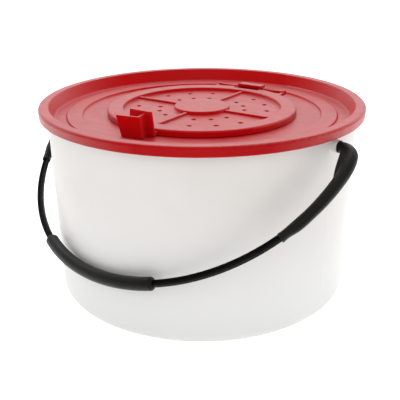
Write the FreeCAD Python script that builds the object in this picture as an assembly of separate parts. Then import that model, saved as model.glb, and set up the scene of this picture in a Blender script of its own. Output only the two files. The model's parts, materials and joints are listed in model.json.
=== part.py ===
import FreeCAD, Part
import math
import os

# A low, wide plastic bucket of about 10 litres.  It has a press-on lid, a perforated
# vent hatch hinged on the lid, and a plastic bail that swings on two pivots.
#
# Frame: millimetres, +Z up.  The origin is the centre of the flat base.  The bail's
# pivot axis runs along X, and at rest the bail hangs forward, toward -Y, on the wall.

Vec = FreeCAD.Vector
X_AXIS = Vec(1, 0, 0)
Y_AXIS = Vec(0, 1, 0)
Z_AXIS = Vec(0, 0, 1)

# ---------------------------------------------------------------- driving dimensions
HEIGHT = 177.0          # base to the top of the lid's rim
LID_R = 150.0           # outer radius of the lid's skirt
WALL = 2.2              # bucket wall
SHEET = 2.0             # lid and hatch wall
FIT = 0.05              # radial clearance of a running fit

# bucket
BASE_R = 139.0          # outer radius at the base
SHOULDER_R = 142.1      # outer radius just below the rim flange
SHOULDER_Z = HEIGHT - 11.0
FLANGE_R = 147.2
FLANGE_UNDER_Z = HEIGHT - 6.8
BUCKET_TOP_Z = HEIGHT - 2.1
RIM_INNER_R = 142.6
BASE_T = 2.6
BASE_GROOVE = 0.8       # depth of the shallow ring groove in the base
BASE_PAD_R = 45.0
FOOT_INNER_R = 124.0

# lid
SKIRT_Z = HEIGHT - 8.6
SKIRT_INNER_R = 147.8
RIM_FLAT_INNER_R = 140.9
GUTTER_R = 136.2        # foot of the lid's inner wall
GUTTER_Z = HEIGHT - 11.7
PLATEAU_OUTER_R = 124.6
PLATEAU_INNER_R = 110.9
PLATEAU_Z = HEIGHT - 10.0
FLOOR_Z = HEIGHT - 12.0
COLLAR_R = 79.1         # upstand round the hatch opening
COLLAR_Z = HEIGHT - 8.3
OPENING_R = 77.5
LID_TURN = 7.5          # degrees the lid is turned on the bucket, about Z

# hatch
HATCH_R = 88.0
HATCH_TOP_Z = HEIGHT - 6.0
HATCH_FOOT_Z = FLOOR_Z + 0.3
PANEL_Z = HEIGHT - 9.3
RING_INNER_R = 73.6
HUB_R = 25.5
PLUG_R = 77.2
PLUG_FOOT_Z = HEIGHT - 16.4
RIB_W = 3.0
RIB_Z = HEIGHT - 7.2
HOLE_R = 1.95
HOLE_SINK = 0.75        # depth and widening of each hole's countersink
HOLE_RINGS = (40.0, 61.0)
HOLE_STEP = 22.0        # degrees between neighbouring holes
TAB_TOP_Z = HEIGHT + 9.3
LEAF_TOP_Z = HEIGHT + 6.8

# hatch hinge
ROD_Y = 93.7
ROD_Z = HEIGHT - 8.2
ROD_R = 1.9
ROD_HALF = 39.4
BLOCK_HALF = 13.5
BLOCK_DEPTH = 8.9
BLOCK_TOP_Z = HEIGHT - 3.6
NOTCH_Y = 80.6          # the hatch's ring is cut away from here back, round the block
PLATE_REAR_Y = 86.3
MOUTH_H = 3.3           # height of the hook's snap mouth, less than the rod
EAR_W = 3.3
EAR_INNER_X = (14.4, 36.1)

# bail
PIVOT_Z = HEIGHT - 17.0
BAIL_ANGLE = 54.0       # degrees from hanging straight down, toward -Y
ARC_R = 164.0           # radius of the bail's centre line
ARC_DROP = 17.3         # centre of that arc below the pivot axis
GRIP_R = 5.8
GRIP_HALF_ANGLE = 23.5
STRAP_RADIAL = 5.5
STRAP_THICK = 4.2
STRAP_GROOVE_W = 2.3
STRAP_GROOVE_D = 1.3
STEP_ANGLE = 62.0       # where the strap enters the end piece
SOCKET_ANGLE = 4.5
BARREL_R = 4.2          # end piece radius where it meets the bush
ARM_R = 5.4
STEP_R = 4.4            # end piece radius where the strap enters it
ELBOW_R = 12.9
ELBOW_X = 151.0
STUB_R = 2.2
HEAD_R = 2.9

# pivots
BOSS_R = 5.4
BOSS_X = 147.4          # face of the boss that the bush seats on
BUSH_FLANGE_R = 5.2
BUSH_FLANGE_T = 1.15
BUSH_SLEEVE_R = 3.5
BUSH_END_X = 138.8


# ---------------------------------------------------------------- shape helpers
def rounded_outline(corners, place):
    """Closed wire through (a, b, radius) corners; a radius of 0 is a sharp corner."""
    count = len(corners)
    entries = []
    for i in range(count):
        a, b, radius = corners[i]
        here = Vec(a, b, 0)
        if radius == 0:
            entries.append((here, here, here))
            continue
        before = Vec(*corners[i - 1][:2], 0) - here
        after = Vec(*corners[(i + 1) % count][:2], 0) - here
        before.normalize()
        after.normalize()
        half = before.getAngle(after) / 2
        reach = radius / math.tan(half)
        bisector = before + after
        bisector.normalize()
        middle = here + bisector * (radius / math.sin(half) - radius)
        entries.append((here + before * reach, middle, here + after * reach))
    edges = []
    for i in range(count):
        start, middle, end = entries[i]
        if (end - start).Length > 1e-6:
            edges.append(Part.Arc(place(start), place(middle), place(end)).toShape())
        onward = entries[(i + 1) % count][0]
        if (onward - end).Length > 1e-6:
            edges.append(Part.LineSegment(place(end), place(onward)).toShape())
    return Part.Wire(edges)


def in_xz(p):
    return Vec(p.x, 0, p.y)


def in_xy(z):
    return lambda p: Vec(p.x, p.y, z)


def in_yz(x):
    return lambda p: Vec(x, p.x, p.y)


def turned(corners):
    """Solid of revolution about Z from (radius, height, corner radius) points."""
    return Part.Face(rounded_outline(corners, in_xz)).revolve(Vec(0, 0, 0), Z_AXIS, 360)


def rod_x(radius, x0, x1, y=0.0, z=0.0):
    return Part.makeCylinder(radius, x1 - x0, Vec(x0, y, z), X_AXIS)


def box(x0, x1, y0, y1, z0, z1):
    return Part.makeBox(x1 - x0, y1 - y0, z1 - z0, Vec(x0, y0, z0))


def mirrored_x(shape):
    return shape.mirror(Vec(0, 0, 0), X_AXIS)


def spun(shape, degrees):
    copy = shape.copy()
    copy.rotate(Vec(0, 0, 0), Z_AXIS, degrees)
    return copy


def save(name, shape):
    solid = shape.removeSplitter()
    if len(solid.Solids) == 1:
        solid = solid.Solids[0]
    if not solid.isValid() or len(solid.Solids) != 1:
        raise RuntimeError(name + " is not one valid solid")
    solid.exportStep("parts/" + name + ".step")
    print(name, round(solid.Volume / 1000, 2), "cm3")


# ---------------------------------------------------------------- bucket
def bucket_body():
    inner_shoulder = SHOULDER_R - WALL
    inner_base = BASE_R - WALL
    shell = turned([
        (0, 0, 0),
        (BASE_PAD_R, 0, 0),
        (BASE_PAD_R + 1.5, BASE_GROOVE, 0),
        (FOOT_INNER_R, BASE_GROOVE, 0),
        (FOOT_INNER_R + 1.5, 0, 0),
        (BASE_R, 0, 6.0),
        (SHOULDER_R, SHOULDER_Z, 2.0),
        (SHOULDER_R + 1.0, FLANGE_UNDER_Z, 0),
        (FLANGE_R, FLANGE_UNDER_Z, 0.8),
        (FLANGE_R, BUCKET_TOP_Z, 1.5),
        (RIM_INNER_R, BUCKET_TOP_Z, 1.2),
        (RIM_INNER_R, FLANGE_UNDER_Z, 2.0),
        (inner_shoulder, SHOULDER_Z, 2.0),
        (inner_base, BASE_T, 5.0),
        (0, BASE_T, 0),
    ])
    boss = rod_x(BOSS_R, SHOULDER_R - WALL / 2, BOSS_X, 0, PIVOT_Z)
    boss = boss.makeFillet(0.5, [e for e in boss.Edges if e.BoundBox.XMin > BOSS_X - 0.01])
    flare = Part.makeCone(BOSS_R + 1.6, BOSS_R, 2.2, Vec(SHOULDER_R - 0.9, 0, PIVOT_Z), X_AXIS)
    boss = boss.fuse(flare)
    shell = shell.fuse([boss, mirrored_x(boss)])
    hole = rod_x(BUSH_SLEEVE_R + FIT, -BOSS_X - 5, BOSS_X + 5, 0, PIVOT_Z)
    return shell.cut(hole)


def pivot_bush():
    """Flanged bush pressed through the wall; the bail's stub turns in it."""
    flange = rod_x(BUSH_FLANGE_R, BOSS_X + FIT, BOSS_X + FIT + BUSH_FLANGE_T, 0, PIVOT_Z)
    flange = flange.makeFillet(0.35, [e for e in flange.Edges if e.Length > 20])
    sleeve = rod_x(BUSH_SLEEVE_R, BUSH_END_X, BOSS_X + 1, 0, PIVOT_Z)
    bore = rod_x(STUB_R + FIT, BUSH_END_X - 5, BOSS_X + 5, 0, PIVOT_Z)
    return flange.fuse(sleeve).cut(bore)


# ---------------------------------------------------------------- lid
def lid():
    slope = (RIM_FLAT_INNER_R - GUTTER_R) / (HEIGHT - GUTTER_Z)
    under_gutter_z = GUTTER_Z - 1.7
    under_rim_z = HEIGHT - SHEET
    plug_foot = GUTTER_R + SHEET + 0.1 + slope * (under_gutter_z - GUTTER_Z)
    plug_top = GUTTER_R + SHEET + 0.1 + slope * (under_rim_z - GUTTER_Z)
    shell = turned([
        (SKIRT_INNER_R, SKIRT_Z, 0),
        (LID_R - 0.3, SKIRT_Z, 0.6),
        (LID_R, HEIGHT, 2.5),
        (RIM_FLAT_INNER_R, HEIGHT, 1.0),
        (GUTTER_R, GUTTER_Z, 2.0),
        (PLATEAU_OUTER_R + 1.0, GUTTER_Z, 1.0),
        (PLATEAU_OUTER_R, PLATEAU_Z, 0.6),
        (PLATEAU_INNER_R, PLATEAU_Z, 0.6),
        (PLATEAU_INNER_R - 0.8, FLOOR_Z, 0.6),
        (COLLAR_R, FLOOR_Z, 0.6),
        (COLLAR_R, COLLAR_Z, 0.4),
        (OPENING_R, COLLAR_Z, 0.4),
        (OPENING_R, FLOOR_Z - SHEET, 0),
        (PLATEAU_INNER_R + 0.4, FLOOR_Z - SHEET, 0),
        (PLATEAU_INNER_R + 1.2, PLATEAU_Z - SHEET, 0),
        (PLATEAU_OUTER_R - 1.2, PLATEAU_Z - SHEET, 0),
        (PLATEAU_OUTER_R - 0.4, under_gutter_z, 0),
        (plug_foot, under_gutter_z, 1.0),
        (plug_top, under_rim_z, 0),
        (SKIRT_INNER_R, under_rim_z, 0),
    ])
    return shell.fuse(spun(hook_block(), LID_TURN))


def hook_block():
    """Hook on the lid's floor that holds the hatch's hinge rod, open to the front."""
    front_y = ROD_Y - BLOCK_DEPTH / 2
    rear_y = ROD_Y + BLOCK_DEPTH / 2
    block = box(-BLOCK_HALF, BLOCK_HALF, front_y, rear_y, FLOOR_Z - 1, BLOCK_TOP_Z)
    top_edges = [e for e in block.Edges if e.BoundBox.ZMin > BLOCK_TOP_Z - 0.01]
    block = block.makeFillet(0.8, top_edges)
    bore = rod_x(ROD_R + 0.08, -BLOCK_HALF - 1, BLOCK_HALF + 1, ROD_Y, ROD_Z)
    mouth = box(-BLOCK_HALF - 1, BLOCK_HALF + 1, front_y - 1, ROD_Y,
                ROD_Z - MOUTH_H / 2, ROD_Z + MOUTH_H / 2)
    return block.cut([bore, mouth])


# ---------------------------------------------------------------- hatch
def hatch_disc():
    hub_under_z = HATCH_TOP_Z - 1.8
    panel_under_z = PANEL_Z - 1.6
    channel_z = HATCH_TOP_Z - 1.8
    return turned([
        (HATCH_R - SHEET, HATCH_FOOT_Z, 0),
        (HATCH_R, HATCH_FOOT_Z, 0.4),
        (HATCH_R, HATCH_TOP_Z, 2.0),
        (RING_INNER_R, HATCH_TOP_Z, 1.0),
        (RING_INNER_R - 0.6, PANEL_Z, 0.6),
        (HUB_R + 0.6, PANEL_Z, 0.5),
        (HUB_R, HATCH_TOP_Z, 0.8),
        (0, HATCH_TOP_Z, 0),
        (0, hub_under_z, 0),
        (HUB_R - SHEET, hub_under_z, 0),
        (HUB_R - SHEET + 0.6, panel_under_z, 0),
        (PLUG_R - SHEET, panel_under_z, 0),
        (PLUG_R - SHEET, PLUG_FOOT_Z, 0),
        (PLUG_R, PLUG_FOOT_Z, 0.8),
        (PLUG_R, channel_z, 0),
        (HATCH_R - SHEET, channel_z, 0),
    ])


def hatch_ribs():
    rib = box(HUB_R - 1, RING_INNER_R + 1, -RIB_W / 2, RIB_W / 2, PANEL_Z - 0.8, RIB_Z)
    top_edges = [e for e in rib.Edges if e.BoundBox.ZMin > RIB_Z - 0.01 and e.Length > 10]
    rib = rib.makeFillet(0.8, top_edges)
    return [spun(rib, 90 * quarter) for quarter in range(4)]


def vent_holes():
    holes = []
    for quarter in range(4):
        for ring_r in HOLE_RINGS:
            for step in (-1, 0, 1):
                hole = Part.makeCylinder(HOLE_R, 10, Vec(ring_r, 0, PANEL_Z - 5), Z_AXIS)
                sink = Part.makeCone(HOLE_R, HOLE_R + HOLE_SINK, HOLE_SINK,
                                     Vec(ring_r, 0, PANEL_Z - HOLE_SINK), Z_AXIS)
                holes.append(spun(hole.fuse(sink), 90 * quarter + 45 + step * HOLE_STEP))
    return holes


def hatch_hinge():
    """Plate behind the ring, four ears and the rod that clips into the lid's hook."""
    plate_top = HATCH_TOP_Z - 1.7
    inner_x = EAR_INNER_X[0]
    ring_side = Part.makeCylinder(HATCH_R - 2.2, 20, Vec(0, 0, HATCH_FOOT_Z), Z_AXIS)
    plate = box(-ROD_HALF, ROD_HALF, HATCH_R - 12, PLATE_REAR_Y, plate_top - 2.2, plate_top)
    room = box(-inner_x, inner_x, NOTCH_Y, ROD_Y, FLOOR_Z, HEIGHT)
    pieces = [plate.cut([ring_side, room]), rod_x(ROD_R, -ROD_HALF, ROD_HALF, ROD_Y, ROD_Z)]
    cheek = box(inner_x, inner_x + 1.6, NOTCH_Y, HATCH_R - 3, HATCH_FOOT_Z, HATCH_TOP_Z - 0.5)
    pieces += [cheek, mirrored_x(cheek)]
    for ear_x in EAR_INNER_X:
        ear = box(ear_x, ear_x + EAR_W, HATCH_R - 9, ROD_Y, ROD_Z - 1.9, plate_top)
        ear = ear.cut(ring_side)
        ear = ear.fuse(rod_x(ROD_R + 0.5, ear_x, ear_x + EAR_W, ROD_Y, ROD_Z))
        pieces += [ear, mirrored_x(ear)]
    return pieces


def upright(foot, top, top_z):
    """Upright plate lofted from its outline on the foot level to its outline at the top."""
    outlines = [rounded_outline(foot, in_xy(HATCH_FOOT_Z)), rounded_outline(top, in_xy(top_z))]
    return Part.makeLoft(outlines, True, True)


def pull_tab():
    """Upright finger tab and the lower thumb leaf that stands in front of it."""
    tall = upright([
        (-13.2, -92.5, 0.5),
        (14.2, -92.5, 0.5),
        (14.2, -90.5, 0.5),
        (-13.2, -90.5, 0.5),
    ], [
        (-10.6, -93.0, 0.5),
        (11.7, -93.0, 0.5),
        (11.7, -91.0, 0.5),
        (-10.6, -91.0, 0.5),
    ], TAB_TOP_Z)
    leaf = upright([
        (-10.4, -106.2, 0.6),
        (9.1, -102.5, 2.0),
        (6.6, -91.5, 0),
        (4.6, -91.5, 0),
        (6.8, -101.2, 0.8),
        (-10.1, -104.2, 0.6),
    ], [
        (-13.8, -108.0, 0.6),
        (7.6, -104.0, 2.0),
        (5.2, -91.9, 0),
        (3.2, -91.9, 0),
        (5.3, -102.6, 0.8),
        (-13.5, -106.0, 0.6),
    ], LEAF_TOP_Z)
    pad = box(-12.2, 13.2, -91.5, 2.6 - HATCH_R, HATCH_FOOT_Z, HATCH_TOP_Z - 2.2)
    return [tall, leaf, pad]


def vent_hatch():
    notch = box(-EAR_INNER_X[0], EAR_INNER_X[0], NOTCH_Y, HATCH_R + 1, HATCH_FOOT_Z - 1, HEIGHT)
    hatch = hatch_disc().fuse(hatch_ribs()).cut(vent_holes() + [notch])
    hatch = hatch.fuse(hatch_hinge() + pull_tab())
    return spun(hatch, LID_TURN)


# ---------------------------------------------------------------- bail
ARC_CENTRE = Vec(0, 0, -ARC_DROP)
LOW_Z = -ARC_DROP - ARC_R


def along_arc(face, start, end):
    """Turn a face drawn at the bail's lowest point along its arc, in degrees from there."""
    placed = face.copy()
    placed.rotate(ARC_CENTRE, -Y_AXIS, start)
    return placed.revolve(ARC_CENTRE, -Y_AXIS, end - start)


def strap_face(grow=0.0, groove=True):
    half_t = STRAP_THICK / 2 + grow
    half_r = STRAP_RADIAL / 2 + grow
    half_w = STRAP_GROOVE_W / 2
    corners = [
        (half_t, LOW_Z - half_r, 0.8),
        (half_t, LOW_Z + half_r, 0.8),
        (-half_t, LOW_Z + half_r, 0.5),
        (-half_t, LOW_Z - half_r, 0.5),
    ]
    if groove:
        deep = -half_t + STRAP_GROOVE_D
        corners[3:3] = [
            (-half_t, LOW_Z + half_w, 0.3),
            (deep, LOW_Z + half_w * 0.7, 0.3),
            (deep, LOW_Z - half_w * 0.7, 0.3),
            (-half_t, LOW_Z - half_w, 0.3),
        ]
    return Part.Face(rounded_outline(corners, in_yz(0)))


def hung(shape):
    """Move a piece from the bail's own plane to its place, leaning on the bucket."""
    placed = shape.copy()
    placed.rotate(Vec(0, 0, 0), X_AXIS, -BAIL_ANGLE)
    placed.translate(Vec(0, 0, PIVOT_Z))
    return placed


def bail_strap():
    reach = STEP_ANGLE + SOCKET_ANGLE
    return hung(along_arc(strap_face(), -reach, reach))


def bail_grip():
    ring = Part.Wire(Part.makeCircle(GRIP_R, Vec(0, 0, LOW_Z), X_AXIS))
    grip = along_arc(Part.Face(ring), -GRIP_HALF_ANGLE, GRIP_HALF_ANGLE)
    grip = grip.makeFillet(2.4, [e for e in grip.Edges if 30 < e.Length < 40])
    bore = along_arc(strap_face(FIT, False), -GRIP_HALF_ANGLE - 2, GRIP_HALF_ANGLE + 2)
    return hung(grip.cut(bore))


def round_section(radius, x, z, turn):
    """Circle about a point of the bail's plane, facing an angle down from +X."""
    ring = Part.Wire(Part.makeCircle(radius, Vec(0, 0, 0), X_AXIS))
    ring.rotate(Vec(0, 0, 0), Y_AXIS, turn)
    ring.translate(Vec(x, 0, z))
    return ring


def end_arm(shoulder_x):
    """Round arm from the bush, round the elbow and down to the step at the strap."""
    sections = [round_section(BARREL_R, shoulder_x, 0, 0)]
    for turn in (0, 30, 60, 90):
        angle = math.radians(turn)
        x = ELBOW_X + ELBOW_R * math.sin(angle)
        z = ELBOW_R * (math.cos(angle) - 1)
        sections.append(round_section(BARREL_R + 0.2 + turn / 90, x, z, turn))
    stations = 6
    for i in range(stations):
        share = i / (stations - 1)
        around = 86 + (STEP_ANGLE - 86) * share
        angle = math.radians(around)
        x = (ARC_R + 0.5) * math.sin(angle)
        z = -ARC_DROP - (ARC_R + 0.5) * math.cos(angle)
        sections.append(round_section(ARM_R + (STEP_R - ARM_R) * share, x, z, 180 - around))
    arm = Part.makeLoft(sections, True)
    step_edge = [e for e in arm.Edges
                 if e.BoundBox.ZMin < -60 and abs(e.Length / STEP_R - 2 * math.pi) < 0.2]
    return arm.makeFillet(0.9, step_edge)


def elbow_web():
    """Gusset that fills the inside of the elbow."""
    outline = rounded_outline([
        (ELBOW_X + 0.2, -3.2, 0),
        (ELBOW_X + 1.6, -6.0, 0.8),
        (ELBOW_X + 5.6, -23.0, 8.0),
        (ARC_R - 3.6, -35.0, 0),
        (ARC_R - 1.0, -35.0, 0),
        (ARC_R - 1.0, -6.0, 0),
    ], in_xz)
    web = Part.Face(outline)
    web.translate(Vec(0, -3.0, 0))
    return web.extrude(Vec(0, 6.0, 0))


def bail_end():
    """End piece on the +X side: arm, gusset, and the stub that turns in the bush."""
    shoulder_x = BOSS_X + FIT + BUSH_FLANGE_T + 0.1
    stub = rod_x(STUB_R, BUSH_END_X - 1.5, shoulder_x + 1)
    head = rod_x(HEAD_R, BUSH_END_X - 3.4, BUSH_END_X - 0.2)
    head = head.makeChamfer(0.6, [e for e in head.Edges if e.BoundBox.XMax < BUSH_END_X - 3])
    slot = box(BUSH_END_X - 5, BUSH_END_X + 1.5, -0.5, 0.5, -HEAD_R - 1, HEAD_R + 1)
    end = end_arm(shoulder_x).fuse([elbow_web(), stub, head]).cut(slot)
    socket = along_arc(strap_face(FIT, False), STEP_ANGLE - 2, STEP_ANGLE + SOCKET_ANGLE + 0.1)
    return end.cut(socket)


# ---------------------------------------------------------------- the separate pieces
os.makedirs("parts", exist_ok=True)
save("bucket_body", bucket_body())
save("pivot_bush_right", pivot_bush())
save("pivot_bush_left", mirrored_x(pivot_bush()))
save("lid", lid())
save("vent_hatch", vent_hatch())
save("bail_strap", bail_strap())
save("bail_grip", bail_grip())
save("bail_end_right", hung(bail_end()))
save("bail_end_left", hung(mirrored_x(bail_end())))
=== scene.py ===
import json
import math

import bpy
from mathutils import Matrix, Vector

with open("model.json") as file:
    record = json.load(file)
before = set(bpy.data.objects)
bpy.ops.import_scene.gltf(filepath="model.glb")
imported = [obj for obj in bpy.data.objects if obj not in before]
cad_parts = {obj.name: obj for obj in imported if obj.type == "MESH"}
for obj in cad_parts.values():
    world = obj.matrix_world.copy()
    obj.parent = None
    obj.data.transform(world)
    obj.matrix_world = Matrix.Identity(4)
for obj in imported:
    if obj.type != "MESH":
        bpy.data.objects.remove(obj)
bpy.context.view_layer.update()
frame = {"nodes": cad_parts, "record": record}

# ---------------------------------------------------------------- studio dimensions
CAMERA_DISTANCE = 0.630      # from the bucket's axis, along the ground
CAMERA_HEIGHT = 0.3288       # above the floor
CAMERA_AZIMUTH = 41.0        # degrees round from straight in front
CAMERA_PITCH = 0.38307       # radians below level
CAMERA_ROLL = -0.0064
CAMERA_YAW = -0.0037
LENS = 61.79                 # on a 36 mm sensor
FLOOR_HALF = 6.0
FLOOR_DROP = 0.0002          # keeps the floor clear of the bucket's flat base
SKY_DIM = 0.66               # strength in front of the bucket
SKY_BRIGHT = 1.2             # strength behind it, low down

# ---------------------------------------------------------------- places on the object
FLOOR_BOUNCE_TOP = 0.120        # painted floor bounce: the wall is painted paler from here down, as if lit from the floor
SCUFF_TOP = 0.010            # the foot is scuffed up to here
LID_INSIDE_R = 0.1472        # walls of the lid and hatch nearer the axis get a painted glow, as if light came through them
WALL_BLEND = 0.002
TAB_LOW_Z = 0.1725           # only the pull tab stands above this ...
TAB_FAR_R = 0.135            # ... nearer the axis than this
FLOW_RINGS = 2600.0          # radians per metre, away from the axis


# ---------------------------------------------------------------- node helpers
class Graph:
    """Thin wrapper that builds one material's node tree."""

    def __init__(self, name):
        self.material = bpy.data.materials.new(name)
        self.material.use_nodes = True
        self.tree = self.material.node_tree
        self.shader = self.tree.nodes["Principled BSDF"]
        self.coords = self.node("ShaderNodeTexCoord").outputs["Object"]

    def node(self, kind, **settings):
        made = self.tree.nodes.new(kind)
        for key, value in settings.items():
            setattr(made, key, value)
        return made

    def feed(self, socket, value):
        if isinstance(value, bpy.types.NodeSocket):
            self.tree.links.new(value, socket)
        else:
            socket.default_value = value

    def math(self, operation, a, b=0.0, clamp=False):
        made = self.node("ShaderNodeMath", operation=operation, use_clamp=clamp)
        self.feed(made.inputs[0], a)
        self.feed(made.inputs[1], b)
        return made.outputs[0]

    def stretch(self, scale):
        made = self.node("ShaderNodeMapping")
        self.feed(made.inputs["Vector"], self.coords)
        made.inputs["Scale"].default_value = scale
        return made.outputs[0]

    def noise(self, scale, detail=3.0, rough=0.5, vector=None):
        made = self.node("ShaderNodeTexNoise")
        self.feed(made.inputs["Vector"], vector or self.coords)
        made.inputs["Scale"].default_value = scale
        made.inputs["Detail"].default_value = detail
        made.inputs["Roughness"].default_value = rough
        return made.outputs[0]

    def ranged(self, value, low, high, to_low=0.0, to_high=1.0):
        made = self.node("ShaderNodeMapRange")
        self.feed(made.inputs["Value"], value)
        made.inputs["From Min"].default_value = low
        made.inputs["From Max"].default_value = high
        made.inputs["To Min"].default_value = to_low
        made.inputs["To Max"].default_value = to_high
        return made.outputs[0]

    def mix(self, share, a, b):
        made = self.node("ShaderNodeMix", data_type="RGBA")
        self.feed(made.inputs[0], share)
        self.feed(made.inputs[6], a)
        self.feed(made.inputs[7], b)
        return made.outputs[2]

    def axis(self, name):
        made = self.node("ShaderNodeSeparateXYZ")
        self.feed(made.inputs[0], self.coords)
        return made.outputs[name]

    def from_axis(self):
        """Distance from the bucket's upright axis."""
        x, y = self.axis("X"), self.axis("Y")
        return self.math("SQRT", self.math("ADD", self.math("MULTIPLY", x, x),
                                           self.math("MULTIPLY", y, y)))

    def upright(self):
        """1 on walls that stand up and 0 on flats; it marks where a glow of light through the
        walls is painted.
        """
        made = self.node("ShaderNodeSeparateXYZ")
        self.feed(made.inputs[0], self.node("ShaderNodeTexCoord").outputs["Normal"])
        return self.ranged(self.math("ABSOLUTE", made.outputs["Z"]), 0.75, 0.45)

    def bump(self, height, distance, strength=1.0, below=None):
        made = self.node("ShaderNodeBump")
        made.inputs["Distance"].default_value = distance
        made.inputs["Strength"].default_value = strength
        self.feed(made.inputs["Height"], height)
        if below is not None:
            self.feed(made.inputs["Normal"], below)
        return made.outputs[0]

    def sheen(self, face_on, grazing):
        """Specular level that is low on faces turned to the eye and high on grazed ones."""
        weight = self.node("ShaderNodeLayerWeight")
        weight.inputs["Blend"].default_value = 0.5
        return self.ranged(weight.outputs["Facing"], 0.15, 0.70, face_on, grazing)

    def rounded(self, radius):
        """Normal with sharp edges rounded off, and a mask that is 1 on worn outer edges."""
        bevel = self.node("ShaderNodeBevel", samples=4)
        bevel.inputs["Radius"].default_value = radius
        here = self.node("ShaderNodeNewGeometry").outputs["Normal"]
        dot = self.node("ShaderNodeVectorMath", operation="DOT_PRODUCT")
        self.feed(dot.inputs[0], bevel.outputs[0])
        self.feed(dot.inputs[1], here)
        return bevel.outputs[0], self.ranged(dot.outputs["Value"], 0.995, 0.86)

    def done(self, colour, rough, normal, **inputs):
        self.feed(self.shader.inputs["Base Color"], colour)
        self.feed(self.shader.inputs["Roughness"], rough)
        self.feed(self.shader.inputs["Normal"], normal)
        for key, value in inputs.items():
            self.feed(self.shader.inputs[key.replace("_", " ")], value)
        return self.material


# ---------------------------------------------------------------- materials
def white_plastic():
    """Opaque moulded polypropylene with faint draw lines, a scuffed foot, and painted floor
    bounce that makes the wall paler low down.
    """
    g = Graph("white_polypropylene")
    cloud = g.ranged(g.noise(9.0, 3.0), 0.35, 0.65)
    colour = g.mix(cloud, (0.635, 0.600, 0.575, 1), (0.670, 0.640, 0.618, 1))
    # painted light: the wall is painted paler and more neutral towards the foot, standing in
    # for light bounced up from the floor
    painted_floor_bounce = g.ranged(g.axis("Z"), FLOOR_BOUNCE_TOP, 0.0, 0.0, 0.9)
    colour = g.mix(painted_floor_bounce, colour, (0.730, 0.730, 0.722, 1))
    foot = g.ranged(g.axis("Z"), SCUFF_TOP, 0.0)
    scuffs = g.ranged(g.noise(60.0, 6.0, 0.65, g.stretch((1.0, 1.0, 6.0))), 0.52, 0.68)
    worn = g.math("MULTIPLY", foot, scuffs, clamp=True)
    colour = g.mix(g.math("MULTIPLY", worn, 0.35), colour, (0.56, 0.54, 0.51, 1))
    draw = g.noise(220.0, 2.0, 0.5, g.stretch((1.0, 1.0, 0.04)))
    grain = g.noise(1900.0, 2.0)
    rough = g.math("ADD", g.ranged(cloud, 0, 1, 0.34, 0.40),
                   g.math("MULTIPLY", g.ranged(draw, 0.3, 0.7), 0.06))
    rough = g.math("ADD", rough, g.math("MULTIPLY", worn, 0.2))
    normal = g.bump(draw, 0.00004, 0.6)
    normal = g.bump(grain, 0.00002, 0.8, normal)
    return g.done(colour, rough, normal, Subsurface_Weight=0.22, Subsurface_Scale=0.01,
                  Subsurface_Radius=(1.0, 0.75, 0.65),
                  Specular_IOR_Level=g.sheen(0.3, 0.45))


def red_plastic():
    """Moulded polyethylene: faint rings of flow, grain, smears, pale worn edges, and a painted
    glow of light through its inner walls and pull tab.
    """
    g = Graph("red_polyethylene")
    cloud = g.ranged(g.noise(14.0, 4.0), 0.35, 0.65)
    colour = g.mix(cloud, (0.330, 0.0026, 0.0040, 1), (0.378, 0.0038, 0.0056, 1))
    away = g.from_axis()
    # painted light: upright walls nearer the axis, and the pull tab most of all, are painted a
    # brighter red, standing in for light shining through the thin plastic
    inward = g.ranged(away, LID_INSIDE_R, LID_INSIDE_R - WALL_BLEND, 0.0, 0.54)
    walls = g.math("MULTIPLY", g.upright(), inward)
    tab = g.math("MULTIPLY", g.ranged(g.axis("Z"), TAB_LOW_Z, TAB_LOW_Z + WALL_BLEND),
                 g.ranged(away, TAB_FAR_R, TAB_FAR_R - 0.010, 0.0, 0.5))
    # painted glow: share of the brighter red that stands in for light coming through
    glow = g.math("MULTIPLY", walls, g.math("ADD", tab, 1.0))
    colour = g.mix(glow, colour, (0.580, 0.0022, 0.0040, 1))
    soft, edge = g.rounded(0.0006)
    wear = g.math("MULTIPLY", edge, g.ranged(g.noise(120.0, 4.0), 0.45, 0.75))
    colour = g.mix(g.math("MULTIPLY", wear, 0.30), colour, (0.62, 0.12, 0.12, 1))
    grain = g.noise(1500.0, 3.0, 0.6)
    smear = g.noise(35.0, 5.0, 0.6, g.stretch((1.0, 2.5, 1.0)))
    rough = g.ranged(smear, 0.3, 0.7, 0.33, 0.44)
    rough = g.math("ADD", rough, g.math("MULTIPLY", wear, 0.15))
    drift = g.math("MULTIPLY", g.noise(30.0, 2.0), 4.0)
    rings = g.math("SINE", g.math("ADD", g.math("MULTIPLY", away, FLOW_RINGS), drift))
    normal = g.bump(rings, 0.0000025, 0.5, soft)
    normal = g.bump(grain, 0.00003, 0.8, normal)
    return g.done(colour, rough, normal, Subsurface_Weight=0.30, Subsurface_Scale=0.004,
                  Subsurface_Radius=(1.0, 0.06, 0.05),
                  Specular_IOR_Level=g.sheen(0.06, 0.96))


def black_plastic(name, face_on, grazing):
    """Grained black polypropylene, rubbed a little paler on its edges."""
    g = Graph(name)
    cloud = g.ranged(g.noise(25.0, 4.0), 0.35, 0.65)
    colour = g.mix(cloud, (0.0034, 0.0031, 0.0029, 1), (0.0060, 0.0056, 0.0052, 1))
    soft, edge = g.rounded(0.0005)
    wear = g.math("MULTIPLY", edge, g.ranged(g.noise(200.0, 5.0), 0.4, 0.7))
    colour = g.mix(g.math("MULTIPLY", wear, 0.35), colour, (0.055, 0.055, 0.056, 1))
    grain = g.noise(1400.0, 3.0, 0.65)
    rough = g.ranged(g.noise(45.0, 5.0, 0.6), 0.3, 0.7, 0.40, 0.54)
    normal = g.bump(grain, 0.00005, 0.9, soft)
    return g.done(colour, rough, normal, Specular_IOR_Level=g.sheen(face_on, grazing))


SLOT_MATERIALS = {
    "bucket_white": white_plastic(),
    "lid_red": red_plastic(),
    "bail_black": black_plastic("black_polypropylene", 0.12, 0.46),
}
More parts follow.
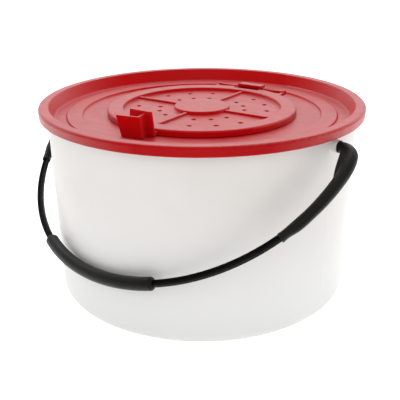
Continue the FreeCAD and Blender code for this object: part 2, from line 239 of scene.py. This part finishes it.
# painted shade: the strap gets a copy of the bail's black plastic with much less reflection,
# so it looks darker as if it stood in shade
shaded_strap_black = black_plastic("shaded_black_strap_polypropylene", 0.02, 0.14)
for part in frame["record"]["subparts"]:
    node = frame["nodes"][part["node"]]
    node.data.materials.clear()
    node.data.materials.append(shaded_strap_black if part["node"] == "bail_strap"
                               else SLOT_MATERIALS[part["material_slot"]])


# ---------------------------------------------------------------- floor, light, camera
def floor():
    mesh = bpy.data.meshes.new("studio_floor")
    corners = [(x * FLOOR_HALF, y * FLOOR_HALF, 0)
               for x, y in ((-1, -1), (1, -1), (1, 1), (-1, 1))]
    mesh.from_pydata(corners, [], [(0, 1, 2, 3)])
    plane = bpy.data.objects.new("studio_floor", mesh)
    plane.location.z = -FLOOR_DROP
    bpy.context.scene.collection.objects.link(plane)
    g = Graph("pale_floor")
    tone = g.mix(g.noise(3.0), (0.92, 0.92, 0.92, 1), (0.94, 0.94, 0.94, 1))
    mesh.materials.append(g.done(tone, 0.8, g.bump(g.noise(400.0), 0.00002),
                                 Emission_Color=(1, 1, 1, 1), Emission_Strength=0.38))


def softbox(name, place, target, size, power):
    data = bpy.data.lights.new(name, "AREA")
    data.shape = "RECTANGLE"
    data.size, data.size_y = size
    data.energy = power
    light = bpy.data.objects.new(name, data)
    light.location = place
    light.rotation_euler = (Vector(target) - Vector(place)).to_track_quat("-Z", "Y").to_euler()
    bpy.context.scene.collection.objects.link(light)


def from_camera(right, toward, up):
    """A point given from the camera's side: to its right, toward it, and up."""
    turn = Matrix.Rotation(math.radians(CAMERA_AZIMUTH), 3, "Z")
    return turn @ Vector((right, -toward, up))


def camera():
    data = bpy.data.cameras.new("camera")
    data.lens = LENS
    data.clip_start, data.clip_end = 0.01, 50
    made = bpy.data.objects.new("camera", data)
    bpy.context.scene.collection.objects.link(made)
    turn = Matrix.Rotation(math.radians(CAMERA_AZIMUTH), 3, "Z")
    ahead = Vector((math.sin(CAMERA_YAW) * math.cos(CAMERA_PITCH),
                    math.cos(CAMERA_YAW) * math.cos(CAMERA_PITCH), -math.sin(CAMERA_PITCH)))
    level = Vector((math.cos(CAMERA_YAW), -math.sin(CAMERA_YAW), 0))
    over = level.cross(ahead)
    right = level * math.cos(CAMERA_ROLL) + over * math.sin(CAMERA_ROLL)
    up = over * math.cos(CAMERA_ROLL) - level * math.sin(CAMERA_ROLL)
    axes = Matrix((turn @ right, turn @ up, -(turn @ ahead))).transposed()
    made.matrix_world = Matrix.LocRotScale(
        from_camera(0, CAMERA_DISTANCE, CAMERA_HEIGHT), axes.to_quaternion(), None)
    bpy.context.scene.camera = made


def light_room():
    """White studio, brightest low down behind the bucket, so that tops gleam."""
    world = bpy.data.worlds.new("studio_world")
    world.use_nodes = True
    tree = world.node_tree
    toward = tree.nodes.new("ShaderNodeTexCoord")
    share = tree.nodes.new("ShaderNodeVectorMath")
    share.operation = "DOT_PRODUCT"
    share.inputs[1].default_value = from_camera(0.0, -1.0, 0.4).normalized()
    glow = tree.nodes.new("ShaderNodeMapRange")
    glow.inputs["From Min"].default_value = 0.1
    glow.inputs["From Max"].default_value = 0.95
    glow.inputs["To Min"].default_value = SKY_DIM
    glow.inputs["To Max"].default_value = SKY_BRIGHT
    tree.links.new(toward.outputs["Generated"], share.inputs[0])
    tree.links.new(share.outputs["Value"], glow.inputs["Value"])
    tree.links.new(glow.outputs[0], tree.nodes["Background"].inputs["Strength"])
    tree.nodes["Background"].inputs["Color"].default_value = (1, 1, 1, 1)
    bpy.context.scene.world = world
    middle = (0, 0, 0.12)
    softbox("top_softbox", from_camera(0.0, -0.55, 1.5), middle, (2.0, 1.4), 15)
    softbox("left_softbox", from_camera(-1.6, 0.8, 0.6), middle, (1.2, 1.2), 2)
    softbox("right_softbox", from_camera(1.6, 0.7, 0.6), middle, (1.2, 1.2), 2)
    softbox("front_softbox", from_camera(0.1, 1.5, 1.5), middle, (1.6, 1.0), 7.5)
    bpy.context.scene.view_settings.view_transform = "Standard"


floor()
light_room()
camera()
